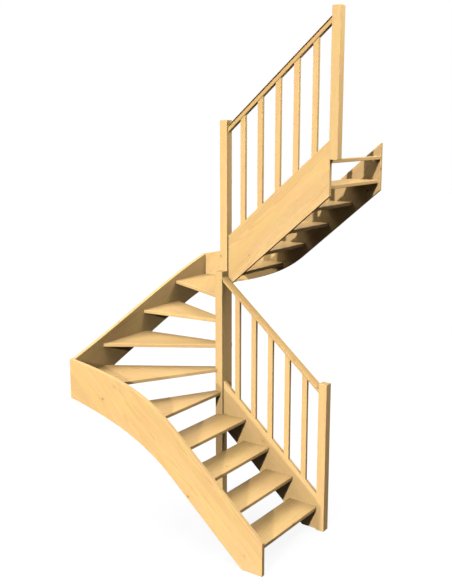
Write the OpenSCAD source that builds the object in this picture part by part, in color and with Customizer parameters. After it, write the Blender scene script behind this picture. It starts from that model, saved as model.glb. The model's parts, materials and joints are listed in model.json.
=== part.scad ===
// Double quarter-turn staircase in pine: two straight flights side by side, joined by
// two corners of tapered treads, with open risers, a wall stringer on three sides, an
// inner stringer and a balustrade on each flight, and two newels side by side at the turn.
// Lengths are in millimetres. +Z is up. The lower flight climbs along +Y, the turn runs
// along +X and the upper flight climbs along -Y. The origin is the centre of the start
// newel's foot, at floor level.

/* [Going and rise] */
// Height from one tread to the next
rise = 187; // [165:1:205]
// Level distance from one nosing to the next on the straight flights
going = 220; // [200:1:270]
// Clear width of a flight, between its stringers
flight_w = 800; // [650:10:1000]

/* [Treads] */
// Thickness of a tread
tread_t = 27; // [22:1:40]
// How far a tread reaches back under the nosing above
overlap = 30; // [15:1:45]
// Depth of the housings that the tread ends sit in
housing = 12; // [6:1:15]
// Depth of the landing board, front to back
landing_board_w = 43; // [30:1:90]

/* [Stringers] */
// Thickness of every stringer
stringer_t = 32; // [27:1:40]
// Height of the lower stringers above the line of the nosings
string_above = 90; // [60:1:110]
// Depth of the lower stringers and the inner upper one below the line of the nosings
string_below = 298; // [250:1:340]
// Height of the inner upper stringer above the line of the nosings
inner_upper_above = 106; // [60:1:120]
// Height of the upper wall stringer above the line of the nosings
wall_upper_above = 68; // [50:1:110]
// Depth of the upper wall stringer below the line of the nosings
wall_upper_below = 308; // [250:1:340]
// Length of the wall stringer in front of the first nosing
string_toe = 41; // [0:1:80]
// Height of the top edge above tread 6 in the first corner
corner_1_above = 135; // [110:1:170]
// Height of the top edge above tread 9 in the second corner
corner_2_above = 188; // [160:1:220]
// Depth of the wall stringers in both corners
corner_depth = 316; // [280:1:360]

/* [Newels] */
// Side of the square newels
newel_w = 68; // [60:1:100]
// Top of the start newel above the floor
newel_start_h = 1168; // [1100:1:1300]
// Top of the lower turn newel above tread 5
newel_lower_above = 981; // [950:1:1100]
// Bottom of the upper turn newel above the floor
newel_upper_foot = 850; // [760:1:900]
// Top of the upper turn newel above tread 11
newel_upper_above = 1027; // [1000:1:1200]
// Top of the landing newel above the landing
newel_top_above = 1050; // [1000:1:1200]

/* [Balustrade] */
// Height of the lower handrail's top above the line of the nosings
rail_lower_above = 940; // [880:1:1000]
// Height of the upper handrail's top above the line of the nosings
rail_upper_above = 946; // [880:1:1000]
// Width of a handrail's body
rail_w = 45; // [40:1:55]
// Thickness of a handrail, square to its slope
rail_t = 34; // [30:1:50]
// How far a handrail's cap stands out on each side of its body
rail_lip = 7; // [3:1:10]
// Thickness of the cap
rail_cap_t = 8; // [6:1:14]
// Width of a baluster along the flight
baluster_w = 44; // [25:1:60]
// Thickness of a baluster across the flight
baluster_t = 26; // [20:1:32]
// Balusters in each balustrade
baluster_count = 5; // [4:1:6]

/* [Hidden] */

pine = [0.94, 0.77, 0.50];
rises = 15;
landing_z = rises * rise;
pitch = atan(rise / going);

// Plan: the start newel and the lower turn newel stand on x = 0, the upper turn newel
// beside them, and each inner stringer runs on the centre line of its newels.
half_newel = newel_w / 2;
upper_x = newel_w;
lower_in_x = -stringer_t / 2;
lower_wall_x = lower_in_x - flight_w;
upper_in_x = upper_x + stringer_t / 2;
upper_wall_x = upper_in_x + flight_w;
first_nose_y = half_newel;
straight_goings = 4;
turn_y = first_nose_y + straight_goings * going;
turn_back_y = turn_y + newel_w;
back_wall_y = turn_y + half_newel + stringer_t / 2 + flight_w;
// The landing's nosing lies a little further in than the first tread's
landing_set_in = 38;
landing_nose_y = first_nose_y + landing_set_in;
landing_end_y = landing_nose_y - landing_board_w;

// The tapered treads: tread 5 + i has its nosing through fan_in[i], at fan_angle[i]
// from the lower flight's nosings. The last entry is tread 11, straight again.
fan_angle = [0, 28.5, 57, 84, 114, 146, 180];
fan_in = [
    [-half_newel, turn_y + 15],
    [-half_newel, turn_y + 48],
    [-half_newel + 44, turn_back_y],
    [upper_x + half_newel - 12, turn_back_y],
    [upper_x + half_newel - 5, turn_back_y],
    [upper_x + half_newel, turn_back_y - 8],
    [upper_x + half_newel, turn_y + 38]
];

// Direction of a nosing line, from the newels outwards, and the way up the stair
function out_dir(a) = [-cos(a), sin(a)];
function up_dir(a) = [sin(a), cos(a)];

// Height of the line through the nosings of the lower and of the upper flight
function lower_line(y) = rise + (y - first_nose_y) * rise / going;
function upper_line(y) = landing_z - (y - landing_nose_y) * rise / going;

// A curved edge: points on a cubic Bezier curve through p0 and p3
function curve(p0, p1, p2, p3, n = 24) = [
    for (i = [0:n]) let (t = i / n, s = 1 - t)
        s * s * s * p0 + 3 * s * s * t * p1 + 3 * s * t * t * p2 + t * t * t * p3
];
function reversed(v) = [for (i = [len(v) - 1:-1:0]) v[i]];

// A board standing in a plane of constant x, drawn as y and z, and one of constant y
module board_yz(x, t, pts) {
    translate([x, 0, 0]) rotate([90, 0, 90]) linear_extrude(t) polygon(pts);
}
module board_xz(y, t, pts) {
    translate([0, y + t, 0]) rotate([90, 0, 0]) linear_extrude(t) polygon(pts);
}

module post(x, y, z0, z1) {
    translate([x - half_newel, y - half_newel, z0]) cube([newel_w, newel_w, z1 - z0]);
}

// Corner heights of the wall stringers' top edges
corner_1_z = 6 * rise + corner_1_above;
corner_2_z = 9 * rise + corner_2_above;

// The wall stringers' curves. Each leaves its straight flight at a bend, so many goings
// from the first or the landing nosing, and runs on along the slope for bend_handle. At
// the corner it comes in from corner_handle away, lower or higher than the corner by a
// sag for the top edge and one for the bottom edge. The back one rises by a hump after
// the first corner and comes up to the second from below by a dip.
bend_lower = 3.4;
bend_upper = 3;
bend_handle = 270;
corner_handle = 440;
sag_lower = [-55, -90];
sag_upper = [80, 110];
back_hump = 190;
back_dip = 155;

module wall_stringer_lower() {
    toe_y = first_nose_y - string_toe;
    end_y = back_wall_y + stringer_t;
    bend_y = first_nose_y + bend_lower * going;
    floor_y = first_nose_y + (string_below - rise) * going / rise;
    top = curve(
        [bend_y, lower_line(bend_y) + string_above],
        [bend_y + bend_handle, lower_line(bend_y + bend_handle) + string_above],
        [end_y - corner_handle, corner_1_z + sag_lower[0]],
        [end_y, corner_1_z]
    );
    bottom = curve(
        [bend_y, lower_line(bend_y) - string_below],
        [bend_y + bend_handle, lower_line(bend_y + bend_handle) - string_below],
        [end_y - corner_handle, corner_1_z - corner_depth + sag_lower[1]],
        [end_y, corner_1_z - corner_depth]
    );
    color(pine) difference() {
        board_yz(lower_wall_x - stringer_t, stringer_t, concat(
            [[floor_y, 0], [toe_y, 0], [toe_y, lower_line(toe_y) + string_above]],
            top, reversed(bottom)
        ));
        for (k = [1:6]) tread(k);
    }
}

module wall_stringer_back() {
    x0 = lower_wall_x;
    x1 = upper_wall_x;
    third = (x1 - x0) / 3;
    top = curve(
        [x0, corner_1_z], [x0 + third, corner_1_z + back_hump],
        [x1 - third, corner_2_z - back_dip], [x1, corner_2_z]
    );
    bottom = curve(
        [x0, corner_1_z - corner_depth],
        [x0 + third, corner_1_z - corner_depth + back_hump],
        [x1 - third, corner_2_z - corner_depth - back_dip],
        [x1, corner_2_z - corner_depth]
    );
    color(pine) difference() {
        board_xz(back_wall_y, stringer_t, concat(top, reversed(bottom)));
        for (k = [6:9]) tread(k);
    }
}

module wall_stringer_upper() {
    end_y = back_wall_y + stringer_t;
    bend_y = landing_nose_y + bend_upper * going;
    top = curve(
        [bend_y, upper_line(bend_y) + wall_upper_above],
        [bend_y + bend_handle, upper_line(bend_y + bend_handle) + wall_upper_above],
        [end_y - corner_handle, corner_2_z + sag_upper[0]],
        [end_y, corner_2_z]
    );
    bottom = curve(
        [bend_y, upper_line(bend_y) - wall_upper_below],
        [bend_y + bend_handle, upper_line(bend_y + bend_handle) - wall_upper_below],
        [end_y - corner_handle, corner_2_z - corner_depth + sag_upper[1]],
        [end_y, corner_2_z - corner_depth]
    );
    color(pine) difference() {
        board_yz(upper_wall_x, stringer_t, concat(
            [[landing_end_y, upper_line(landing_end_y) - wall_upper_below],
             [landing_end_y, upper_line(landing_end_y) + wall_upper_above]],
            top, reversed(bottom)
        ));
        for (k = [9:14]) tread(k);
        landing_plank();
    }
}

module inner_stringer_lower() {
    floor_y = first_nose_y + (string_below - rise) * going / rise;
    color(pine) difference() {
        board_yz(lower_in_x, stringer_t, [
            [floor_y, 0], [first_nose_y, 0],
            [first_nose_y, lower_line(first_nose_y) + string_above],
            [turn_y, lower_line(turn_y) + string_above],
            [turn_y, lower_line(turn_y) - string_below]
        ]);
        for (k = [1:4]) tread(k);
    }
}

module inner_stringer_upper() {
    color(pine) difference() {
        board_yz(upper_x - stringer_t / 2, stringer_t, [
            [landing_end_y, upper_line(landing_end_y) - string_below],
            [landing_end_y, upper_line(landing_end_y) + inner_upper_above],
            [turn_y, upper_line(turn_y) + inner_upper_above],
            [turn_y, upper_line(turn_y) - string_below]
        ]);
        for (k = [11:14]) tread(k);
        landing_plank();
    }
}

module newel_start() {
    color(pine) post(0, 0, 0, newel_start_h);
}
module newel_turn_lower() {
    color(pine) post(0, turn_y + half_newel, 0, 5 * rise + newel_lower_above);
}
module newel_turn_upper() {
    color(pine) post(upper_x, turn_y + half_newel, newel_upper_foot, 11 * rise + newel_upper_above);
}
module newel_top() {
    color(pine) post(upper_x, landing_end_y - half_newel, landing_z, landing_z + newel_top_above);
}

// Plan of tread k. The straight treads are rectangles, the others wedges between their
// own nosing line and the one above, set back by the overlap.
// A wedge is drawn from a stub inside the newels to a reach beyond the walls, then cut.
reach = 3 * flight_w;
stub = newel_w * 0.85;
module tread_plan(k) {
    if (k < 5) {
        y = first_nose_y + (k - 1) * going;
        back = k < 4 ? y + going : fan_in[0][1];
        translate([lower_wall_x - housing, y])
            square([flight_w + 2 * housing, back - y + overlap]);
    } else if (k > 10) {
        y = landing_nose_y + (14 - k) * going;
        front = k > 11 ? y + going : fan_in[6][1];
        translate([upper_in_x - housing, y - overlap])
            square([flight_w + 2 * housing, front - y + overlap]);
    } else {
        i = k - 5;
        u = out_dir(fan_angle[i]);
        v = out_dir(fan_angle[i + 1]);
        q = fan_in[i + 1] + overlap * up_dir(fan_angle[i + 1]);
        intersection() {
            polygon([fan_in[i] - stub * u, fan_in[i] + reach * u, q + reach * v, q - stub * v]);
            translate([lower_wall_x - housing, 0])
                square([upper_wall_x - lower_wall_x + 2 * housing, back_wall_y + housing]);
        }
    }
}

// Tread k with the newels cut out of it
module tread(k) {
    color(pine) difference() {
        translate([0, 0, k * rise - tread_t]) linear_extrude(tread_t) tread_plan(k);
        post(0, turn_y + half_newel, 0, landing_z);
        post(upper_x, turn_y + half_newel, 0, landing_z);
    }
}

module landing_plank() {
    translate([upper_in_x - housing, landing_end_y, landing_z - tread_t])
        cube([flight_w + 2 * housing, landing_board_w, tread_t]);
}
module landing_board() {
    color(pine) landing_plank();
}

// Cross-section of a handrail, its top at height 0: a body under a wider cap, whose upper
// edges are bevelled by half its thickness
rail_bevel = rail_cap_t / 2;
module rail_section() {
    half = rail_w / 2;
    tip = half + rail_lip;
    polygon([
        [-half, -rail_t], [half, -rail_t], [half, -rail_cap_t], [tip, -rail_cap_t],
        [tip, -rail_bevel], [tip - rail_bevel, 0], [rail_bevel - tip, 0],
        [-tip, -rail_bevel], [-tip, -rail_cap_t], [-half, -rail_cap_t]
    ]);
}

// A handrail over x, level with z0 at y0 and climbing at the angle up as y grows, cut
// upright at y0 and y1
module handrail(x, y0, y1, z0, up) {
    spare = rail_t;
    long = (y1 - y0) / cos(pitch) + 2 * spare;
    color(pine) intersection() {
        translate([x, y0, z0]) rotate([up, 0, 0]) translate([0, long - spare, 0])
            rotate([90, 0, 0]) linear_extrude(long) rail_section();
        translate([x - rail_w, y0, 0]) cube([2 * rail_w, y1 - y0, 2 * landing_z]);
    }
}
module handrail_lower() {
    handrail(0, first_nose_y, turn_y, lower_line(first_nose_y) + rail_lower_above, pitch);
}
module handrail_upper() {
    z0 = upper_line(landing_end_y) + rail_upper_above;
    handrail(upper_x, landing_end_y, turn_y, z0, -pitch);
}

// Balusters stand at equal gaps between the newels, cut to the slope at both ends, each
// end a hair clear of the board that it is fixed to
seat = 0.02;
rail_drop = rail_t / cos(pitch) + seat;
module baluster_lower(i) {
    gap = (turn_y - first_nose_y - baluster_count * baluster_w) / (baluster_count + 1);
    y0 = first_nose_y + i * gap + (i - 1) * baluster_w;
    y1 = y0 + baluster_w;
    color(pine) board_yz(-baluster_t / 2, baluster_t, [
        [y0, lower_line(y0) + string_above + seat],
        [y0, lower_line(y0) + rail_lower_above - rail_drop],
        [y1, lower_line(y1) + rail_lower_above - rail_drop],
        [y1, lower_line(y1) + string_above + seat]
    ]);
}
module baluster_upper(i) {
    gap = (turn_y - landing_end_y - baluster_count * baluster_w) / (baluster_count + 1);
    y0 = landing_end_y + i * gap + (i - 1) * baluster_w;
    y1 = y0 + baluster_w;
    color(pine) board_yz(upper_x - baluster_t / 2, baluster_t, [
        [y0, upper_line(y0) + inner_upper_above + seat],
        [y0, upper_line(y0) + rail_upper_above - rail_drop],
        [y1, upper_line(y1) + rail_upper_above - rail_drop],
        [y1, upper_line(y1) + inner_upper_above + seat]
    ]);
}

wall_stringer_lower();
wall_stringer_back();
wall_stringer_upper();
inner_stringer_lower();
inner_stringer_upper();
newel_start();
newel_turn_lower();
newel_turn_upper();
newel_top();
tread(1);  // tread_01
tread(2);  // tread_02
tread(3);  // tread_03
tread(4);  // tread_04
tread(5);  // tread_05
tread(6);  // tread_06
tread(7);  // tread_07
tread(8);  // tread_08
tread(9);  // tread_09
tread(10);  // tread_10
tread(11);  // tread_11
tread(12);  // tread_12
tread(13);  // tread_13
tread(14);  // tread_14
landing_board();
handrail_lower();
handrail_upper();
baluster_lower(1);  // baluster_lower_1
baluster_lower(2);  // baluster_lower_2
baluster_lower(3);  // baluster_lower_3
baluster_lower(4);  // baluster_lower_4
baluster_lower(5);  // baluster_lower_5
baluster_upper(1);  // baluster_upper_1
baluster_upper(2);  // baluster_upper_2
baluster_upper(3);  // baluster_upper_3
baluster_upper(4);  // baluster_upper_4
baluster_upper(5);  // baluster_upper_5
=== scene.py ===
"""Double quarter-turn staircase in lacquered pine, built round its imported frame.

Every board, post, rail and bar of the frame is made again here as a finished piece: its
outline is read from the flat side of its own frame node, its corners are rounded, and an
edge profile is carried round that outline. The pieces stay where the frame has them.
Lengths are in metres, +Z is up, and the origin is the centre of the start newel's foot.
"""

import json
import logging
import math
from dataclasses import dataclass, field
from enum import Enum
from typing import Any, Iterable, Mapping, Sequence

import bmesh
import bpy
import numpy as np
from mathutils import Matrix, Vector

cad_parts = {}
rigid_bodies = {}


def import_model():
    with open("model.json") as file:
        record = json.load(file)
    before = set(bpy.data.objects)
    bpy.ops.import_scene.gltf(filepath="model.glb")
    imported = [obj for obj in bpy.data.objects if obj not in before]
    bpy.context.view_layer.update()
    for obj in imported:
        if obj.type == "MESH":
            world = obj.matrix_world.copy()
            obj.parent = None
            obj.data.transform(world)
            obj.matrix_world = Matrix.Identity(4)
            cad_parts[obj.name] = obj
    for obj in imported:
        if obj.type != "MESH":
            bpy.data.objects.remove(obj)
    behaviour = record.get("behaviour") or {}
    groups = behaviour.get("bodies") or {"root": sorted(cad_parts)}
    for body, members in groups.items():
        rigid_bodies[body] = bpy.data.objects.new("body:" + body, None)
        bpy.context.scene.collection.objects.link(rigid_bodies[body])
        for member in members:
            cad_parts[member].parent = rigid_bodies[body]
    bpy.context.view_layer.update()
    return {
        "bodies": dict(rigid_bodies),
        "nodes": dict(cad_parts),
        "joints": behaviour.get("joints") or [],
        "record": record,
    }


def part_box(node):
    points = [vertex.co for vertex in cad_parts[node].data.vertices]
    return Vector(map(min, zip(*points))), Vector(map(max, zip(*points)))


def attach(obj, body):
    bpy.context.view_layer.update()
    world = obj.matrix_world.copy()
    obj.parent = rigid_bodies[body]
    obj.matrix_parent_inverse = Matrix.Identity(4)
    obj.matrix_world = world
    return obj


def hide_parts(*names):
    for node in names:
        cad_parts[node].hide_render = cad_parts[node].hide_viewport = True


ROOT = "root"
SEED = 41
MM = 0.001

# The picture's width and height, for the camera's shift and lens.
IMAGE_W, IMAGE_H = 452, 584

# Points of a frame node nearer than this are one point, and faces that turn by less than
# this angle are one face. A face counts as facing a side above this cosine.
SAME_POINT = 0.02 * MM
SAME_PLANE = math.radians(0.15)
FACING = 0.999

# An outline is set in freely up to this share of a corner's shorter edge, and a rounded
# corner takes up at most this share of it. No outward corner gets sharper than this.
FREE_INSET = 0.2
CORNER_ROOM = 0.42
SHARPEST = 0.25 * MM

# How worn an edge is at its rims. It is fully worn in its middle.
RIM_WEAR = 0.4
# How far past an eased edge the worn band fades out on a board's flat side.
BAND = 6 * MM

log = logging.getLogger("staircase")

Triple = tuple[float, float, float]


# ---------------------------------------------------------------- shapes


class Side(Enum):
    """A side of a board, as the direction that it faces."""

    LEFT = (-1.0, 0.0, 0.0)
    RIGHT = (1.0, 0.0, 0.0)
    BACK = (0.0, 1.0, 0.0)
    TOP = (0.0, 0.0, 1.0)


def unit(vector: np.ndarray) -> np.ndarray:
    """Returns the vectors in the last axis, each scaled to length one."""
    return vector / np.maximum(np.linalg.norm(vector, axis=-1, keepdims=True), 1e-12)


def flat_side(node: bpy.types.Object, side: Side) -> np.ndarray:
    """Reads the outline of the flat side of a frame node that faces a given way.

    A copy of the node's mesh has its doubles merged and its flat triangles joined. The
    largest face whose normal is the side's direction is the flat side.

    Args:
        node: The frame node, which is only read.
        side: The side whose outline is wanted.

    Returns:
        The corners as an (n, 3) array, anticlockwise as seen from outside.
    """
    copy = bmesh.new()
    copy.from_mesh(node.data)
    bmesh.ops.remove_doubles(copy, verts=copy.verts, dist=SAME_POINT)
    bmesh.ops.dissolve_limit(
        copy, angle_limit=SAME_PLANE, verts=copy.verts, edges=copy.edges
    )
    facing = [f for f in copy.faces if f.normal.dot(side.value) > FACING]
    widest = max(facing, key=lambda f: f.calc_area())
    corners = np.array([v.co for v in widest.verts])
    copy.free()
    return corners


@dataclass
class Outline:
    """A closed outline in a plane, anticlockwise, whose corners are rounded.

    Attributes:
        corners: The sharp corners, as an (n, 2) array.
        radius: Radius of an outward corner.
        inner_radius: Radius of an inward corner.
        steps: Points on each rounded corner.
        turn: Turns under this angle, in degrees, belong to a curve and stay as they are.
        margin: How far from a rounded corner the worn band of an edge fades out.
    """

    corners: np.ndarray
    radius: float = 2.5 * MM
    inner_radius: float = 0.6 * MM
    steps: int = 5
    turn: float = 12.0
    margin: float = 7.0 * MM

    def __post_init__(self) -> None:
        """Works out each corner's turn and which points the finished outline keeps."""
        start, end = (unit(e) for e in self._edges(self.corners))
        cross = start[:, 0] * end[:, 1] - start[:, 1] * end[:, 0]
        self.angle = np.arctan2(cross, (start * end).sum(1))
        self.rounded = np.abs(self.angle) > math.radians(self.turn)
        lengths = np.linalg.norm(self._edges(self.corners)[1], axis=1)
        roomy = lengths > 4 * self.margin
        before, after = self.rounded & np.roll(roomy, 1), self.rounded & roomy
        keep = np.zeros((len(self.corners), self.steps + 2), bool)
        keep[:, 0], keep[:, -1] = before, after
        keep[:, 1:-1] = self.rounded[:, None]
        keep[~self.rounded, 1 + self.steps // 2] = True
        self.keep = keep

    @staticmethod
    def _edges(points: np.ndarray) -> tuple[np.ndarray, np.ndarray]:
        """Returns the edge that comes into each corner and the edge that leaves it."""
        leaving = np.roll(points, -1, axis=0) - points
        return np.roll(leaving, 1, axis=0), leaving

    def ring(self, inset: float) -> tuple[np.ndarray, np.ndarray]:
        """Works out the rounded outline, set in from its edge.

        Each corner moves in along its mitre, the sum of its two edge normals over one
        plus their product. Past a fifth of its shorter edge it slows down and never
        reaches two fifths, so that no two rings ever meet. A corner of turn a and radius
        r then becomes an arc that starts r times the tangent of a/2 before the corner,
        and whose normal turns evenly from one edge's normal to the other's.

        Args:
            inset: How far the outline is set in.

        Returns:
            The points and their outward normals, both as (m, 2) arrays.
        """
        start, end = (unit(e) for e in self._edges(self.corners))
        n0 = np.stack([start[:, 1], -start[:, 0]], 1)
        n1 = np.stack([end[:, 1], -end[:, 0]], 1)
        mitre = (n0 + n1) / (1 + (n0 * n1).sum(1, keepdims=True))
        into, out = self._edges(self.corners)
        short = np.minimum(np.linalg.norm(into, axis=1), np.linalg.norm(out, axis=1))
        reach = np.linalg.norm(mitre, axis=1)
        free = FREE_INSET * short
        over = np.maximum(inset * reach / free - 1, 0)
        shift = np.where(over > 0, free * (1 + over / (1 + over)), inset * reach) / reach
        points = self.corners - shift[:, None] * mitre
        into, out = self._edges(points)
        short = np.minimum(np.linalg.norm(into, axis=1), np.linalg.norm(out, axis=1))
        room = CORNER_ROOM * short
        half = np.tan(np.abs(self.angle) / 2)
        outward = self.angle > 0
        wanted = np.where(
            outward, np.maximum(self.radius - inset, SHARPEST), self.inner_radius + inset
        )
        tangent = np.minimum(wanted * half, room)
        radius = tangent / np.maximum(half, 1e-9)
        share = np.linspace(0, 1, self.steps)
        swing = self.angle[:, None] * share
        cos, sin = np.cos(swing), np.sin(swing)
        normal = np.stack(
            [
                n0[:, None, 0] * cos - n0[:, None, 1] * sin,
                n0[:, None, 0] * sin + n0[:, None, 1] * cos,
            ],
            2,
        )
        sign = np.where(outward, 1.0, -1.0)[:, None]
        first = points - tangent[:, None] * start
        centre = first - sign * radius[:, None] * n0
        arc = centre[:, None] + (sign * radius[:, None])[:, None] * normal
        middle = 1 + self.steps // 2
        size = (len(points), self.steps + 2, 2)
        place, way = np.empty(size), np.empty(size)
        place[:, 1:-1], way[:, 1:-1] = arc, normal
        place[:, 0] = points - (tangent + self.margin)[:, None] * start
        place[:, -1] = points + (tangent + self.margin)[:, None] * end
        way[:, 0], way[:, -1] = n0, n1
        place[~self.rounded, middle] = points[~self.rounded]
        way[~self.rounded, middle] = unit(n0 + n1)[~self.rounded]
        return place[self.keep], way[self.keep]

    def wear(self) -> np.ndarray:
        """Returns how much each point of a ring is an edge: one in the middle of a
        rounded corner, falling as a sine to its ends, and nothing elsewhere."""
        share = np.zeros(self.steps + 2)
        bend = np.sin(np.pi * np.linspace(0, 1, self.steps))
        share[1:-1] = RIM_WEAR + (1 - RIM_WEAR) * bend
        worn = np.where(self.rounded[:, None] & (self.angle[:, None] > 0), share, 0.0)
        return worn[self.keep]


@dataclass
class Rings:
    """Where an outline is carried to, ring by ring, as a solid is built up.

    Attributes:
        inset: How far each ring is set in from the outline's edge, (m,).
        origin: Where the outline's zero point goes for each ring, (m, 3).
        across: Where the outline's first direction points for each ring, (m, 3).
        up: Where the outline's second direction points for each ring, (m, 3).
        tilt: Angle of the surface at each ring, from the side towards the end, (m,).
        basis: Directions for normals: the outline's two, and the way it is carried.
        wear: How much each ring is a worn edge, (m,).
    """

    inset: np.ndarray
    origin: np.ndarray
    across: np.ndarray
    up: np.ndarray
    tilt: np.ndarray
    basis: np.ndarray
    wear: np.ndarray


def eased_depths(
    low: float, high: float, ease: float, steps: int, margin: float
) -> tuple[np.ndarray, np.ndarray, np.ndarray, np.ndarray]:
    """Works out an edge profile with a quarter round at each end.

    On a quarter round of radius e at angle t, the inset is e (1 - sin t) and the depth
    is e (1 - cos t) from the end. One more ring at each end lies on the flat, margin
    further in, where the worn band has faded out.

    Args:
        low: Depth of the first end.
        high: Depth of the second end.
        ease: Radius of the quarter rounds.
        steps: Rings on each quarter round.
        margin: Distance from the round to the inner ring on the flat.

    Returns:
        Inset, depth, tilt and wear of each ring.
    """
    t = np.linspace(0, np.pi / 2, steps)
    inset = ease * (1 - np.sin(t))
    drop = ease * (1 - np.cos(t))
    worn = RIM_WEAR + (1 - RIM_WEAR) * np.sin(2 * t)
    insets = np.concatenate([[ease + margin], inset, inset[::-1], [ease + margin]])
    depths = np.concatenate([[low], low + drop, high - drop[::-1], [high]])
    tilts = np.concatenate(
        [[-np.pi / 2], t - np.pi / 2, np.pi / 2 - t[::-1], [np.pi / 2]]
    )
    wears = np.concatenate([[0.0], worn, worn[::-1], [0.0]])
    return insets, depths, tilts, wears


@dataclass
class Surface:
    """A closed surface: points, their normals, faces and how worn each point is."""

    points: np.ndarray
    normals: np.ndarray
    faces: list[list[int]]
    wear: np.ndarray


def carry(outline: Outline, rings: Rings) -> Surface:
    """Carries an outline through its rings and closes both ends.

    A point of a ring is origin + first coordinate * across + second coordinate * up. Its
    normal is the outline's own normal times the cosine of the tilt plus the carrying
    direction times the sine.

    Args:
        outline: The outline.
        rings: The rings that it is carried through.

    Returns:
        The closed surface.
    """
    drawn = [outline.ring(inset) for inset in rings.inset]
    flat = np.stack([d[0] for d in drawn])
    way = np.stack([d[1] for d in drawn])
    count, around = flat.shape[:2]
    points = (
        rings.origin[:, None]
        + flat[..., :1] * rings.across[:, None]
        + flat[..., 1:] * rings.up[:, None]
    )
    level = way @ rings.basis[:2]
    cos, sin = np.cos(rings.tilt)[:, None, None], np.sin(rings.tilt)[:, None, None]
    normals = unit(cos * level + sin * rings.basis[2])
    index = np.arange(count * around).reshape(count, around)
    here, there = index[:-1], index[1:]
    quads = np.stack(
        [here, np.roll(here, -1, 1), np.roll(there, -1, 1), there], 2
    ).reshape(-1, 4)
    faces = quads.tolist() + [index[0, ::-1].tolist(), index[-1].tolist()]
    wear = np.maximum(outline.wear()[None], rings.wear[:, None])
    return Surface(points.reshape(-1, 3), normals.reshape(-1, 3), faces, wear.ravel())


def board_surface(
    node: bpy.types.Object, side: Side, ease: float, corner: float, steps: int = 4
) -> Surface:
    """Makes a board from one flat side of its frame node, with every edge rounded.

    Args:
        node: The frame node.
        side: The side whose outline the board has.
        ease: Radius of the edges round its flat sides.
        corner: Radius of the corners of its outline.
        steps: Rings on each rounded edge.

    Returns:
        The board's surface.
    """
    facing = np.array(side.value)
    across = np.array([1.0, 0.0, 0.0] if side is Side.TOP else [0.0, 0.0, 1.0])
    up = np.cross(facing, across)
    corners = flat_side(node, side)
    low, high = (np.array(c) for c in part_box(node.name))
    ends = np.sort([low @ facing, high @ facing])
    inset, depth, tilt, wear = eased_depths(ends[0], ends[1], ease, steps, BAND)
    ones = np.ones((len(inset), 1))
    rings = Rings(
        inset,
        depth[:, None] * facing,
        ones * across,
        ones * up,
        tilt,
        np.stack([across, up, facing]),
        wear,
    )
    drawn = np.stack([corners @ across, corners @ up], 1)
    return carry(Outline(drawn, radius=corner), rings)


# ---------------------------------------------------------------- wood


class Value:
    """A number socket in a node tree, used as a number in Python expressions."""

    def __init__(self, graph: "Graph", socket: bpy.types.NodeSocket) -> None:
        """Wraps the socket."""
        self.graph = graph
        self.socket = socket

    def _math(self, operation: str, *values: Any) -> "Value":
        """Returns the result of a Math node on the values."""
        made = self.graph.node(
            "ShaderNodeMath", {"operation": operation}, dict(enumerate(values))
        )
        return Value(self.graph, made.outputs[0])

    def __add__(self, other: Any) -> "Value":
        """Returns self + other."""
        return self._math("ADD", self, other)

    def __radd__(self, other: Any) -> "Value":
        """Returns other + self."""
        return self._math("ADD", other, self)

    def __sub__(self, other: Any) -> "Value":
        """Returns self - other."""
        return self._math("SUBTRACT", self, other)

    def __rsub__(self, other: Any) -> "Value":
        """Returns other - self."""
        return self._math("SUBTRACT", other, self)

    def __mul__(self, other: Any) -> "Value":
        """Returns self * other."""
        return self._math("MULTIPLY", self, other)

    def __rmul__(self, other: Any) -> "Value":
        """Returns other * self."""
        return self._math("MULTIPLY", other, self)

    def __truediv__(self, other: Any) -> "Value":
        """Returns self / other."""
        return self._math("DIVIDE", self, other)

    def __rtruediv__(self, other: Any) -> "Value":
        """Returns other / self."""
        return self._math("DIVIDE", other, self)

    def power(self, exponent: float) -> "Value":
        """Returns self to a power."""
        return self._math("POWER", self, exponent)

    def floor(self) -> "Value":
        """Returns the whole number at or below self."""
        return self._math("FLOOR", self)

    def fract(self) -> "Value":
        """Returns the part of self after the point."""
        return self._math("FRACT", self)

    def size(self) -> "Value":
        """Returns self without its sign."""
        return self._math("ABSOLUTE", self)

    def below(self, limit: Any) -> "Value":
        """Returns one where self is under the limit, and zero elsewhere."""
        return self._math("LESS_THAN", self, limit)

    def step(self, start: float, end: float) -> "Value":
        """Returns a smooth step of self, from zero at start to one at end."""
        made = self.graph.node(
            "ShaderNodeMapRange",
            {"interpolation_type": "SMOOTHSTEP"},
            {"Value": self, "From Min": start, "From Max": end},
        )
        return Value(self.graph, made.outputs[0])


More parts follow.
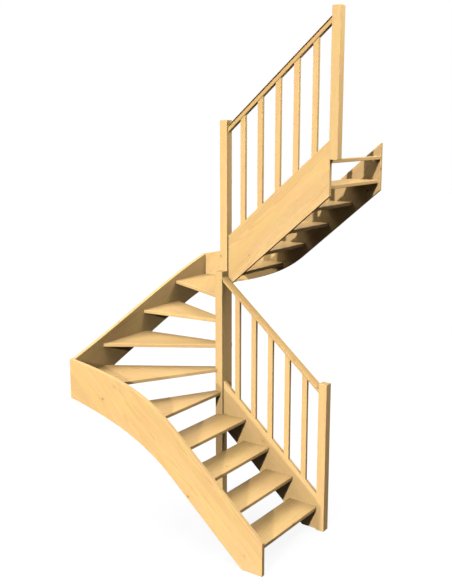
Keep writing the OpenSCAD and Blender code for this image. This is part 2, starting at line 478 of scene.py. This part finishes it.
class Graph:
    """A material's or world's node tree, with the few ways in which nodes are made."""

    def __init__(self, tree: bpy.types.NodeTree) -> None:
        """Empties the tree."""
        self.tree = tree
        tree.nodes.clear()

    def node(
        self, kind: str, settings: Mapping[str, Any], inputs: Mapping[Any, Any]
    ) -> bpy.types.Node:
        """Makes a node.

        Args:
            kind: Blender's name for the node's type.
            settings: The node's own settings, which are set first.
            inputs: A value, colour or link for each socket, by name or number.

        Returns:
            The node.
        """
        made = self.tree.nodes.new(kind)
        for name, setting in settings.items():
            setattr(made, name, setting)
        for name, given in inputs.items():
            socket = made.inputs[name]
            if isinstance(given, Value):
                given = given.socket
            if isinstance(given, bpy.types.NodeSocket):
                self.tree.links.new(given, socket)
            else:
                socket.default_value = given
        return made

    def attribute(self, name: str) -> bpy.types.Node:
        """Returns a node that reads one of the piece's own attributes."""
        return self.node("ShaderNodeAttribute", {"attribute_name": name}, {})

    def vector(self, x: Any, y: Any, z: Any) -> bpy.types.NodeSocket:
        """Returns a vector made of three values."""
        return self.node("ShaderNodeCombineXYZ", {}, {0: x, 1: y, 2: z}).outputs[0]

    def noise(self, place: bpy.types.NodeSocket, scale: float, detail: float) -> Value:
        """Returns a smooth noise, about a half on average, at a place."""
        made = self.node(
            "ShaderNodeTexNoise",
            {"noise_dimensions": "3D"},
            {"Vector": place, "Scale": scale, "Detail": detail, "Roughness": 0.55},
        )
        return Value(self, made.outputs[0])

    def mix(self, share: Any, first: Any, second: Any, blend: str = "MIX") -> Any:
        """Returns a colour between two, by a share."""
        made = self.node(
            "ShaderNodeMix",
            {"data_type": "RGBA", "blend_type": blend},
            {0: share, 6: first, 7: second},
        )
        return made.outputs[2]


@dataclass(frozen=True)
class Streak:
    """A noise that is drawn out along the grain.

    Attributes:
        long: Its waves in a metre along the grain.
        wide: Its waves in a metre across the grain.
        detail: How much finer detail it has.
        offset: How far it is moved from one strip to the next, in waves.
    """

    long: float
    wide: float
    detail: float
    offset: float


# Which way the pith leans and wanders, and how wavy the rings are.
LEAN = Streak(0.75, 2.0, 0.0, 3.7)
WANDER = Streak(1.6, 5.0, 1.0, 1.9)
WAVE = Streak(4.5, 18.0, 2.0, 5.1)
# Fibres, longer streaks, where the rings are strong, clouds of colour and small patches.
FIBRE = Streak(7.0, 420.0, 3.0, 1.0)
STREAK = Streak(1.6, 60.0, 2.0, 2.3)
VIGOUR = Streak(2.2, 14.0, 1.0, 4.3)
CLOUD = Streak(4.0, 11.0, 1.5, 0.7)
PATCH = Streak(13.0, 34.0, 2.0, 2.9)

# Least distance of the pith behind the board, and how far chance moves it.
PITH_DEPTH = 0.034
PITH_ASIDE_CHANCE, PITH_ASIDE_WANDER = 0.11, 0.07
PITH_DEPTH_SHADE, PITH_DEPTH_LEAN = 0.05, 0.075

# Share of the grain's pattern that each part makes up.
FAINT_RING, STREAK_SHARE, FIBRE_SHARE, PATCH_SHARE = 0.35, 0.45, 0.22, 0.30
# The clouds tint the wood a little from the first of these to the second.
GREENER, ROSIER = (1.0, 1.012, 0.965, 1), (1.0, 0.962, 1.0, 1)
# How far a piece's own tone and a strip's own shade lighten it.
TONE_SHARE, SHADE_SHARE = 0.03, 0.10
# Colours, and the strengths that they are mixed in with.
END_DARKENING, END_SHARE = 0.62, 0.45
HALO_COLOUR, HALO_GAIN = (0.60, 0.315, 0.105, 1), 90.0
KNOT_COLOUR = (0.33, 0.135, 0.040, 1)
SEAM_COLOUR, SEAM_SHARE = (0.42, 0.235, 0.075, 1), 0.35
WORN_COLOUR, WORN_SHARE = (0.90, 0.68, 0.40, 1), 0.22
RUB_SCALE = 40.0

# A knot's cell has this many to a metre, along and across. Its own push on the rings, how
# wide that push is, its smallest radius and the most that chance adds, in metres.
CELLS_ALONG, CELLS_ACROSS = 2.1, 9.0
CELL_SHIFT = 9.0
KNOT_PUSH, PUSH_WIDTH = 7 * MM, 16 * MM
KNOT_RADIUS, KNOT_SPREAD = 3 * MM, 5 * MM


@dataclass(frozen=True)
class PineFinish:
    """One lacquered pine finish.

    Attributes:
        slot: The record's material slot, which is the material's name too.
        pale: Colour of the early wood.
        amber: Colour of the late wood between the rings.
        strip: Width of the strips that a board is glued up from, or nothing.
        ring: Distance between the growth rings.
        strength: How strongly the rings show.
        knots: Share of the places for a knot that have one.
        roughness: Roughness of the lacquer.
    """

    slot: str
    pale: Triple
    amber: Triple
    strip: float
    ring: float
    strength: float
    knots: float
    roughness: float

    def material(self) -> bpy.types.Material:
        """Builds the finish as a material.

        The pattern is a solid one, in the piece's own directions: along the grain,
        across it and through the board. Rings lie round a pith that wanders slowly
        beside the board, fibres are long streaks, and a knot is a small round that
        goes through the board and pushes the rings aside.

        Returns:
            The material.
        """
        made = bpy.data.materials.new(self.slot)
        made.use_nodes = True
        graph = Graph(made.node_tree)
        split = graph.node(
            "ShaderNodeSeparateXYZ", {}, {0: graph.attribute("board").outputs["Vector"]}
        )
        along, across, through = (Value(graph, split.outputs[i]) for i in range(3))
        tone = Value(graph, graph.attribute("tone").outputs["Fac"])
        edge = Value(graph, graph.attribute("edge").outputs["Fac"])
        end = Value(graph, graph.attribute("end").outputs["Fac"])

        strip, chance, shade, beside = self._strips(graph, across, tone)
        knot, push = self._knots(graph, along, across, chance)

        def noise(kind: Streak) -> Value:
            """Returns a noise of a kind, drawn out along the grain."""
            place = graph.vector(
                along * kind.long + strip * kind.offset,
                across * kind.wide,
                through * kind.wide,
            )
            return graph.noise(place, 1.0, kind.detail)

        lean, wander, wave = noise(LEAN), noise(WANDER), noise(WAVE)
        aside = (
            beside
            + (chance - 0.5) * PITH_ASIDE_CHANCE
            + (wander - 0.5) * PITH_ASIDE_WANDER
        )
        depth = (
            through
            + (shade - 0.5) * PITH_DEPTH_SHADE
            + PITH_DEPTH
            + (lean - 0.5) * PITH_DEPTH_LEAN
        )
        radius = (aside * aside + depth * depth).power(0.5) + push
        phase = (radius / self.ring + (wave - 0.5) * 1.1).fract()
        late = phase.step(0.2, 0.88) * (1 - phase.step(0.9, 1.0))

        fibre, streak = noise(FIBRE), noise(STREAK)
        vigour = noise(VIGOUR).step(0.25, 0.75)
        cloud, patch = noise(CLOUD), noise(PATCH)

        grain = (
            late * (FAINT_RING + vigour * (1 - FAINT_RING)) * self.strength
            + (streak - 0.5) * STREAK_SHARE
            + (fibre - 0.5) * FIBRE_SHARE
            + (patch - 0.5) * PATCH_SHARE
        )
        colour = graph.mix(grain.step(-0.2, 0.95), (*self.pale, 1), (*self.amber, 1))
        blush = graph.mix(cloud.step(0.36, 0.64), GREENER, ROSIER)
        colour = graph.mix(1.0, colour, blush, "MULTIPLY")
        light = 1.0 + tone * TONE_SHARE + (shade - 0.5) * SHADE_SHARE
        colour = graph.mix(1.0, colour, graph.vector(light, light, light), "MULTIPLY")
        dark = (*(END_DARKENING * c for c in self.amber), 1)
        colour = graph.mix(end * END_SHARE, colour, dark)
        colour = graph.mix(push * HALO_GAIN, colour, HALO_COLOUR)
        colour = graph.mix(knot, colour, KNOT_COLOUR)
        if self.strip:
            seam = (beside.size() / (self.strip / 2)).step(0.986, 0.998)
            colour = graph.mix(seam * SEAM_SHARE, colour, SEAM_COLOUR)
        rubbed = graph.noise(
            graph.vector(along * RUB_SCALE, across * RUB_SCALE, through * RUB_SCALE),
            1.0,
            2.0,
        )
        worn = edge * (0.35 + 0.65 * rubbed.step(0.35, 0.65))
        colour = graph.mix(worn * WORN_SHARE, colour, WORN_COLOUR)

        rough = self.roughness + (fibre - 0.5) * 0.16 + end * 0.15 - worn * 0.07
        height = late * 0.35 + fibre * 0.45 + knot * 0.8
        bump = graph.node(
            "ShaderNodeBump", {}, {"Strength": 0.22, "Distance": 0.0005, "Height": height}
        )
        shader = graph.node(
            "ShaderNodeBsdfPrincipled",
            {},
            {
                "Base Color": colour,
                "Roughness": rough,
                "Specular IOR Level": 0.32,
                "Coat Weight": 0.08,
                "Coat Roughness": 0.28,
                "Normal": bump.outputs[0],
            },
        )
        graph.node("ShaderNodeOutputMaterial", {}, {"Surface": shader.outputs[0]})
        return made

    def _strips(
        self, graph: Graph, across: Value, tone: Value
    ) -> tuple[Value, Value, Value, Value]:
        """Splits a board into glued strips.

        Args:
            graph: The material's node tree.
            across: Place across the board.
            tone: The piece's own random number.

        Returns:
            The strip's number, two random numbers of its own, and the place within it.
        """
        width = self.strip or 1000.0
        strip = (across / width).floor()
        random = graph.node(
            "ShaderNodeTexWhiteNoise",
            {"noise_dimensions": "1D"},
            {"W": strip + tone * 7.3},
        )
        parts = graph.node("ShaderNodeSeparateColor", {}, {0: random.outputs["Color"]})
        chance, shade = Value(graph, parts.outputs[0]), Value(graph, parts.outputs[1])
        beside = across - (strip + 0.5) * width if self.strip else across
        return strip, chance, shade, beside

    def _knots(
        self, graph: Graph, along: Value, across: Value, chance: Value
    ) -> tuple[Value, Value]:
        """Places knots.

        Places for a knot lie in cells about half a metre long. In some of them a knot
        of a few millimetres stands, and rings near it are pushed aside by up to 7 mm.

        Args:
            graph: The material's node tree.
            along: Place along the grain.
            across: Place across the board.
            chance: A random number of the strip's own.

        Returns:
            How much a point is knot, and how far the rings are pushed aside there.
        """
        shift = chance * CELL_SHIFT
        cell = graph.node(
            "ShaderNodeTexVoronoi",
            {"voronoi_dimensions": "2D", "feature": "F1"},
            {
                "Vector": graph.vector(
                    along * CELLS_ALONG + shift, across * CELLS_ACROSS, 0.0
                ),
                "Scale": 1.0,
            },
        )
        centre = graph.node("ShaderNodeSeparateXYZ", {}, {0: cell.outputs["Position"]})
        dx = along - (Value(graph, centre.outputs[0]) - shift) / CELLS_ALONG
        dy = across - Value(graph, centre.outputs[1]) / CELLS_ACROSS
        gone = (dx * dx * 0.6 + dy * dy).power(0.5)
        parts = graph.node("ShaderNodeSeparateColor", {}, {0: cell.outputs["Color"]})
        there = Value(graph, parts.outputs[0]).below(self.knots)
        size = Value(graph, parts.outputs[1]) * KNOT_SPREAD + KNOT_RADIUS
        inside = 1 - (gone / size).step(0.75, 1.15)
        push = there * KNOT_PUSH / (1 + (gone / PUSH_WIDTH).power(2.0)).power(2.0)
        return there * inside * 0.85, push


STRINGER = PineFinish(
    slot="stringer_pine",
    pale=(0.80, 0.530, 0.225),
    amber=(0.68, 0.410, 0.135),
    strip=96 * MM,
    ring=6.2 * MM,
    strength=0.62,
    knots=0.34,
    roughness=0.46,
)
TREAD = PineFinish(
    slot="tread_pine",
    pale=(0.80, 0.525, 0.220),
    amber=(0.67, 0.405, 0.132),
    strip=76 * MM,
    ring=5.6 * MM,
    strength=0.62,
    knots=0.22,
    roughness=0.42,
)
NEWEL = PineFinish(
    slot="newel_pine",
    pale=(0.80, 0.535, 0.230),
    amber=(0.68, 0.415, 0.140),
    strip=0.0,
    ring=5.0 * MM,
    strength=0.6,
    knots=0.22,
    roughness=0.46,
)
HANDRAIL = PineFinish(
    slot="handrail_pine",
    pale=(0.79, 0.515, 0.215),
    amber=(0.66, 0.400, 0.130),
    strip=0.0,
    ring=4.5 * MM,
    strength=0.6,
    knots=0.05,
    roughness=0.38,
)
BALUSTER = PineFinish(
    slot="baluster_pine",
    pale=(0.80, 0.535, 0.230),
    amber=(0.68, 0.415, 0.140),
    strip=0.0,
    ring=4.2 * MM,
    strength=0.6,
    knots=0.06,
    roughness=0.46,
)


# ---------------------------------------------------------------- pieces


UPRIGHT = np.array([0.0, 0.0, 1.0])
SIDEWAYS = np.array([1.0, 0.0, 0.0])

# Each piece's wood is cut from another place: up to six metres along the grain, and this
# much of it across and through.
CUT_LENGTH = 6
CUT_SHARES = (1.0, 0.02, 0.004)
# How sharply end grain sets in as a surface turns square to the grain.
END_POWER = 6


@dataclass
class Workshop:
    """Turns surfaces into finished, dressed pieces that ride on the frame."""

    nodes: Mapping[str, bpy.types.Object]
    random: np.random.Generator = field(
        default_factory=lambda: np.random.default_rng(SEED)
    )
    materials: dict[str, bpy.types.Material] = field(default_factory=dict)

    def finish(
        self,
        name: str,
        surface: Surface,
        grain: np.ndarray,
        thin: np.ndarray,
        finish: PineFinish,
        node: str,
    ) -> bpy.types.Object:
        """Makes a surface into a piece, dresses it and puts it on the frame.

        Args:
            name: The piece's name.
            surface: Its surface.
            grain: The way its wood runs.
            thin: The way through its thickness.
            finish: Its finish.
            node: The frame node that it stands for.

        Returns:
            The piece.
        """
        mesh = bpy.data.meshes.new(name)
        mesh.from_pydata(surface.points.tolist(), [], surface.faces)
        mesh.polygons.foreach_set("use_smooth", np.ones(len(mesh.polygons), bool))
        grain = unit(grain)
        across = unit(np.cross(thin, grain))
        frame = np.stack([grain, across, np.cross(grain, across)])
        shift = self.random.uniform(0, CUT_LENGTH, 3) * CUT_SHARES
        middle = surface.points.mean(0)
        place = (surface.points - middle) @ frame.T + shift
        tone = self.random.uniform(-1, 1)
        end = np.abs(surface.normals @ grain) ** END_POWER
        self._attribute(mesh, "board", "FLOAT_VECTOR", "vector", place)
        self._attribute(mesh, "edge", "FLOAT", "value", surface.wear)
        self._attribute(mesh, "end", "FLOAT", "value", end)
        self._attribute(mesh, "tone", "FLOAT", "value", np.full(len(end), tone))
        mesh.normals_split_custom_set_from_vertices(surface.normals.tolist())
        mesh.update()
        piece = bpy.data.objects.new(name, mesh)
        bpy.context.scene.collection.objects.link(piece)
        if finish.slot not in self.materials:
            self.materials[finish.slot] = finish.material()
        mesh.materials.append(self.materials[finish.slot])
        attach(piece, ROOT)
        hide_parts(node)
        log.info("%s: %d points, %s", name, len(surface.points), finish.slot)
        return piece

    @staticmethod
    def _attribute(
        mesh: bpy.types.Mesh, name: str, kind: str, key: str, values: np.ndarray
    ) -> None:
        """Puts one value per point into a named attribute of the mesh."""
        made = mesh.attributes.new(name, kind, "POINT")
        made.data.foreach_set(key, values.astype(np.float32).ravel())


@dataclass
class Flights:
    """The slope that both straight flights share, read from two of the treads."""

    rise: float
    going: float

    @classmethod
    def read(cls) -> "Flights":
        """Returns the rise and the going between the first two treads."""
        first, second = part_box("tread_01")[0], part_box("tread_02")[0]
        return cls(second.z - first.z, second.y - first.y)

    @property
    def pitch(self) -> float:
        """The angle of the flights."""
        return math.atan2(self.rise, self.going)

    def along(self, climbs: float) -> np.ndarray:
        """Returns the direction up a flight that climbs along +Y (1) or -Y (-1)."""
        return np.array([0.0, climbs * math.cos(self.pitch), math.sin(self.pitch)])


@dataclass
class Stringers:
    """The three wall stringers and the two inner ones: wide boards with rounded edges."""

    shop: Workshop
    flights: Flights
    ease: float = 3.0 * MM
    corner: float = 3.0 * MM

    def build(self) -> list[bpy.types.Object]:
        """Makes all five boards."""
        up, down = self.flights.along(1.0), self.flights.along(-1.0)
        turn = self._slope_of_back()
        plans = [
            ("wall_stringer_lower", Side.LEFT, up),
            ("wall_stringer_back", Side.BACK, turn),
            ("wall_stringer_upper", Side.RIGHT, down),
            ("inner_stringer_lower", Side.RIGHT, up),
            ("inner_stringer_upper", Side.LEFT, down),
        ]
        return [self._board(node, side, grain) for node, side, grain in plans]

    def _slope_of_back(self) -> np.ndarray:
        """Returns the way the back stringer climbs, from its top corner at one end to
        its top corner at the other."""
        corners = flat_side(self.shop.nodes["wall_stringer_back"], Side.BACK)
        left = corners[corners[:, 0] < corners[:, 0].min() + MM]
        right = corners[corners[:, 0] > corners[:, 0].max() - MM]
        return right[right[:, 2].argmax()] - left[left[:, 2].argmax()]

    def _board(self, node: str, side: Side, grain: np.ndarray) -> bpy.types.Object:
        """Makes one stringer from its outer side, which has no housings in it."""
        surface = board_surface(self.shop.nodes[node], side, self.ease, self.corner)
        return self.shop.finish(
            f"{node}_board", surface, grain, np.array(side.value), STRINGER, node
        )


@dataclass
class Treads:
    """Fourteen treads and the landing board, with rounded nosings."""

    shop: Workshop
    count: int = 14
    ease: float = 4.0 * MM
    corner: float = 3.0 * MM

    def build(self) -> list[bpy.types.Object]:
        """Makes every tread, then the landing board."""
        names = [f"tread_{k:02d}" for k in range(1, self.count + 1)] + ["landing_board"]
        return [self._tread(name) for name in names]

    def _tread(self, node: str) -> bpy.types.Object:
        """Makes one tread, its wood along the longest edge of its outline."""
        corners = flat_side(self.shop.nodes[node], Side.TOP)
        edges = np.roll(corners, -1, axis=0) - corners
        grain = edges[np.linalg.norm(edges, axis=1).argmax()]
        surface = board_surface(
            self.shop.nodes[node], Side.TOP, self.ease, self.corner, steps=5
        )
        return self.shop.finish(
            f"{node}_board", surface, grain, np.array(Side.TOP.value), TREAD, node
        )


@dataclass
class Newels:
    """The four square newels, with rounded long edges and eased ends."""

    shop: Workshop
    ease: float = 3.5 * MM
    corner: float = 3.5 * MM

    def build(self) -> list[bpy.types.Object]:
        """Makes the four posts."""
        names = ("newel_start", "newel_turn_lower", "newel_turn_upper", "newel_top")
        return [self._post(name) for name in names]

    def _post(self, node: str) -> bpy.types.Object:
        """Makes one newel from the outline of its top."""
        surface = board_surface(self.shop.nodes[node], Side.TOP, self.ease, self.corner)
        return self.shop.finish(f"{node}_post", surface, UPRIGHT, SIDEWAYS, NEWEL, node)


@dataclass
class Handrails:
    """The two handrails: a body under a wider, crowned cap, carried up the slope.

    Attributes:
        shop: The workshop.
        flights: The slope of the flights.
        body: Width of the body.
        cap: Width of the cap.
        cap_edge: Height of the cap's rounded edge.
        crown: How far the cap's top rises to its middle.
        cove: Radius of the hollow where the cap's underside meets the body.
        ease: Radius of the body's two lower edges.
        run_out: Angle before the top at which the rounded edge meets the crown.
        wear: How worn the cap's edge is.
    """

    shop: Workshop
    flights: Flights
    body: float = 42 * MM
    cap: float = 76 * MM
    cap_edge: float = 2.4 * MM
    crown: float = 2.5 * MM
    cove: float = 1.0 * MM
    ease: float = 7.0 * MM
    run_out: float = 0.07
    wear: float = 0.7

    def build(self) -> list[bpy.types.Object]:
        """Makes both rails."""
        return [self._rail("handrail_lower", 1.0), self._rail("handrail_upper", -1.0)]

    def _half_section(self, height: float) -> tuple[np.ndarray, np.ndarray]:
        """Works out the right half of a rail's section, from its bottom to its top.

        Going up: half the flat bottom, a quarter round, the body's side, a hollow
        quarter, the cap's flat underside, a half round edge, and a parabola to the
        middle of the top.

        Args:
            height: The rail's whole height.

        Returns:
            The points, as (n, 2) arrays of across and up, and their outward normals.
        """
        side, brim, half = self.body / 2, self.cap / 2, self.cap_edge / 2
        shoulder = height - self.crown - self.cap_edge
        arc = np.linspace(0, np.pi / 2, 5)
        turn = np.linspace(-np.pi / 2, np.pi / 2 - self.run_out, 9)
        rise = np.linspace(0, 1, 9)[1:]
        flat = np.array([[0.0, 0.0], [0.6 * side, 0.0]])
        foot = [side - self.ease, self.ease] + self.ease * np.stack(
            [np.sin(arc), -np.cos(arc)], 1
        )
        hollow = [side + self.cove, shoulder - self.cove] + self.cove * np.stack(
            [-np.cos(arc), np.sin(arc)], 1
        )
        edge = [brim - half, shoulder + half] + half * np.stack(
            [np.cos(turn), np.sin(turn)], 1
        )
        start = edge[-1]
        top = np.stack(
            [start[0] * (1 - rise), start[1] + (height - start[1]) * rise * (2 - rise)], 1
        )
        slope = 2 * (height - start[1]) * (1 - rise) / start[0]
        points = np.concatenate([flat, foot, hollow, edge, top])
        normals = np.concatenate(
            [
                [[0.0, -1.0], [0.0, -1.0]],
                np.stack([np.sin(arc), -np.cos(arc)], 1),
                np.stack([np.cos(arc), -np.sin(arc)], 1),
                np.stack([np.cos(turn), np.sin(turn)], 1),
                unit(np.stack([slope, np.ones(len(rise))], 1)),
            ]
        )
        return points, normals

    def _rail(self, node: str, climbs: float) -> bpy.types.Object:
        """Makes one rail.

        The section stands square to the slope. A point of it, across and up, goes to
        the rail's middle plus across, and to the height of the lower arris plus up over
        the cosine of the slope, plus the slope times the distance along, so that both
        ends are cut upright.

        Args:
            node: The rail's frame node.
            climbs: 1 where it climbs along +Y and -1 where it falls.

        Returns:
            The rail.
        """
        low, high = (np.array(c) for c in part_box(node))
        slope = math.tan(self.flights.pitch) * climbs
        cos, sin = math.cos(self.flights.pitch), math.sin(self.flights.pitch) * climbs
        length = high[1] - low[1]
        height = (high[2] - low[2] - length * abs(slope)) * cos
        points, normals = self._half_section(height)
        points = np.concatenate([points, (points * (-1, 1))[-2:0:-1]])
        normals = np.concatenate([normals, (normals * (-1, 1))[-2:0:-1]])
        foot = low[2] if climbs > 0 else high[2] - height / cos
        along = np.array([0.0, length])
        place = np.stack(
            np.broadcast_arrays(
                (low[0] + high[0]) / 2 + points[None, :, 0],
                low[1] + along[:, None],
                foot + slope * along[:, None] + points[None, :, 1] / cos,
            ),
            2,
        )
        way = np.stack([normals[:, 0], -sin * normals[:, 1], cos * normals[:, 1]], 1)
        count = len(points)
        index = np.arange(2 * count).reshape(2, count)
        quads = np.stack(
            [index[0], index[1], np.roll(index[1], -1), np.roll(index[0], -1)], 1
        )
        faces = quads.tolist() + [index[0].tolist(), index[1, ::-1].tolist()]
        worn = np.exp(-(((points[:, 0] / (self.cap / 2)) ** 2 - 1) ** 2) / 0.02)
        wear = np.tile(self.wear * worn, 2)
        surface = Surface(place.reshape(-1, 3), np.tile(way, (2, 1)), faces, wear)
        grain = self.flights.along(climbs)
        return self.shop.finish(f"{node}_rail", surface, grain, SIDEWAYS, HANDRAIL, node)


@dataclass
class Balusters:
    """The flat bars between a stringer and a handrail, cut to the slope at both ends."""

    shop: Workshop
    flights: Flights
    count: int = 5
    corner: float = 2.5 * MM

    def build(self) -> list[bpy.types.Object]:
        """Makes the bars of both balustrades."""
        plans = [("lower", 1.0), ("upper", -1.0)]
        return [
            self._bar(f"baluster_{flight}_{i}", climbs)
            for flight, climbs in plans
            for i in range(1, self.count + 1)
        ]

    def _bar(self, node: str, climbs: float) -> bpy.types.Object:
        """Makes one bar.

        Its plan is a rectangle with rounded corners. It is carried from a bottom to a
        top that both slope as the flight does, so height grows with y by the slope.

        Args:
            node: The bar's frame node.
            climbs: 1 where the flight climbs along +Y and -1 where it falls.

        Returns:
            The bar.
        """
        low, high = (np.array(c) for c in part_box(node))
        slope = math.tan(self.flights.pitch) * climbs
        half = (high - low)[:2] / 2
        centre = (high + low) / 2
        drawn = half * np.array([[-1, -1], [1, -1], [1, 1], [-1, 1]])
        fall = abs(slope) * half[1]
        heights = np.array([low[2] + fall, high[2] - fall])
        origin = np.stack([centre[0] + 0 * heights, centre[1] + 0 * heights, heights], 1)
        ones = np.ones((2, 1))
        rings = Rings(
            inset=np.zeros(2),
            origin=origin,
            across=ones * SIDEWAYS,
            up=ones * np.array([0.0, 1.0, slope]),
            tilt=np.zeros(2),
            basis=np.eye(3),
            wear=np.zeros(2),
        )
        surface = carry(Outline(drawn, radius=self.corner), rings)
        return self.shop.finish(f"{node}_bar", surface, UPRIGHT, SIDEWAYS, BALUSTER, node)


# ---------------------------------------------------------------- studio


@dataclass(frozen=True)
class Lamp:
    """A soft lamp that the camera doesn't see.

    Attributes:
        name: The lamp's name.
        way: The way in which its light travels.
        strength: Its strength.
        softness: How wide a distant lamp looks, in degrees, or a near lamp's size.
        near: Where a near lamp stands. A distant lamp has no place.
        sheen: Whether it shows in the lacquer.
    """

    name: str
    way: Triple
    strength: float
    softness: float
    near: Triple | None = None
    sheen: bool = False

    def place(self) -> None:
        """Puts the lamp into the scene."""
        data = bpy.data.lights.new(self.name, "AREA" if self.near else "SUN")
        data.energy = self.strength
        if self.near:
            data.size = self.softness
        else:
            data.angle = math.radians(self.softness)
        lamp = bpy.data.objects.new(self.name, data)
        lamp.visible_camera = False
        lamp.visible_glossy = self.sheen
        back = -unit(np.array(self.way))
        side = unit(np.cross((0.0, 1.0, 0.0), back))
        turned = np.stack([side, np.cross(back, side), back], 1)
        placed = Matrix(turned.tolist()).to_4x4()
        placed.translation = self.near or (0.0, 0.0, 0.0)
        lamp.matrix_world = placed
        bpy.context.scene.collection.objects.link(lamp)


@dataclass
class Studio:
    """A plain pale floor, plain soft light and the camera.

    Attributes:
        lamps: The lamps.
        floor_size: Length of the floor's sides.
        floor_grey: How much of the lamps' light the floor returns.
        floor_glow: The floor's own light, which keeps its shadows faint.
        sky: Strength of the dim light from above.
        ground: Strength of the dim light from below.
        stand: Where the camera stands.
        turns: Its turn to the right of +Y, its turn down and its roll, in degrees.
        focal: The camera's focal length, in dots.
        centre: Where the camera's axis meets the picture, in dots.
    """

    lamps: Sequence[Lamp] = (
        Lamp("key", (1.0, 0.168, -0.3825), 2.35, 1.0, sheen=True),
        Lamp("low_key", (1.0, 0.0, -0.056), 1.25, 1.5),
        Lamp("overhead", (0.05, -0.05, -1.0), 1.9, 90.0),
        Lamp("overhead_back", (0.0, -0.5, -1.0), 1.5, 40.0),
        Lamp("back_fill", (-0.80, -0.45, -0.25), 1.0, 30.0),
        Lamp("front_fill", (-0.42, 0.80, -0.50), 56.0, 1.2, near=(1.1, -1.7, 4.5)),
    )
    floor_size: float = 60.0
    floor_grey: float = 0.10
    floor_glow: float = 0.91
    sky: float = 0.08
    ground: float = 0.035
    stand: Triple = (-5.27363, -2.87064, 3.06331)
    turns: Triple = (54.5148, 11.2206, -0.0385)
    focal: float = 838.62
    centre: tuple[float, float] = (227.125, 289.093)

    def build(self) -> None:
        """Sets up the light, the floor and the camera."""
        for lamp in self.lamps:
            lamp.place()
        self._world()
        self._floor()
        self._camera()
        scene = bpy.context.scene
        scene.view_settings.view_transform = "Standard"
        scene.view_settings.look = "None"
        scene.cycles.diffuse_bounces = 0

    def _world(self) -> None:
        """Makes a white backdrop whose light on the stair is dim, more from above."""
        world = bpy.data.worlds.new("backdrop")
        world.use_nodes = True
        graph = Graph(world.node_tree)
        where = graph.node("ShaderNodeTexCoord", {}, {})
        split = graph.node("ShaderNodeSeparateXYZ", {}, {0: where.outputs["Generated"]})
        height = Value(graph, split.outputs[2]).step(-0.35, 0.6)
        strength = self.ground + height * (self.sky - self.ground)
        dim = graph.node(
            "ShaderNodeBackground",
            {},
            {"Color": (1.0, 0.98, 0.95, 1), "Strength": strength},
        )
        white = graph.node(
            "ShaderNodeBackground", {}, {"Color": (1, 1, 1, 1), "Strength": 1.0}
        )
        seen = graph.node("ShaderNodeLightPath", {}, {})
        both = graph.node(
            "ShaderNodeMixShader",
            {},
            {0: seen.outputs["Is Camera Ray"], 1: dim.outputs[0], 2: white.outputs[0]},
        )
        graph.node("ShaderNodeOutputWorld", {}, {"Surface": both.outputs[0]})
        bpy.context.scene.world = world

    def _floor(self) -> None:
        """Lays a large pale floor that throws no light back on the stair."""
        half = self.floor_size / 2
        corners = half * np.array([[-1, -1, 0], [1, -1, 0], [1, 1, 0], [-1, 1, 0]])
        mesh = bpy.data.meshes.new("floor")
        mesh.from_pydata(corners.tolist(), [], [[0, 1, 2, 3]])
        made = bpy.data.materials.new("floor_white")
        made.use_nodes = True
        graph = Graph(made.node_tree)
        shader = graph.node(
            "ShaderNodeBsdfPrincipled",
            {},
            {
                "Base Color": (self.floor_grey, self.floor_grey, self.floor_grey, 1),
                "Roughness": 0.9,
                "Specular IOR Level": 0.0,
                "Emission Color": (1, 1, 1, 1),
                "Emission Strength": self.floor_glow,
            },
        )
        graph.node("ShaderNodeOutputMaterial", {}, {"Surface": shader.outputs[0]})
        mesh.materials.append(made)
        floor = bpy.data.objects.new("floor", mesh)
        bpy.context.scene.collection.objects.link(floor)
        floor.visible_diffuse = False
        floor.visible_glossy = False

    def _camera(self) -> None:
        """Places the camera: it stands left of the start newel, above the landing's
        height, and looks across the stair and a little down."""
        yaw, pitch, roll = (math.radians(a) for a in self.turns)
        ahead = np.array(
            [
                math.sin(yaw) * math.cos(pitch),
                math.cos(yaw) * math.cos(pitch),
                -math.sin(pitch),
            ]
        )
        level = np.array([math.cos(yaw), -math.sin(yaw), 0.0])
        above = np.cross(level, ahead)
        right = math.cos(roll) * level + math.sin(roll) * above
        up = math.cos(roll) * above - math.sin(roll) * level
        data = bpy.data.cameras.new("camera")
        data.sensor_width = 36.0
        data.lens = self.focal / IMAGE_H * data.sensor_width
        data.shift_x = (IMAGE_W / 2 - self.centre[0]) / IMAGE_H
        data.shift_y = (self.centre[1] - IMAGE_H / 2) / IMAGE_H
        data.clip_start, data.clip_end = 0.1, 200.0
        camera = bpy.data.objects.new("camera", data)
        turned = Matrix(np.stack([right, up, -ahead], 1).tolist()).to_4x4()
        turned.translation = self.stand
        camera.matrix_world = turned
        bpy.context.scene.collection.objects.link(camera)
        bpy.context.scene.camera = camera


def main() -> None:
    """Loads the frame, builds each part of the stair in order and sets up the studio."""
    logging.basicConfig(level=logging.INFO, format="%(name)s: %(message)s")
    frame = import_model()
    shop = Workshop(frame["nodes"])
    flights = Flights.read()
    Stringers(shop, flights).build()
    Treads(shop).build()
    Newels(shop).build()
    Handrails(shop, flights).build()
    Balusters(shop, flights).build()
    Studio().build()


if __name__ == "__main__":
    main()
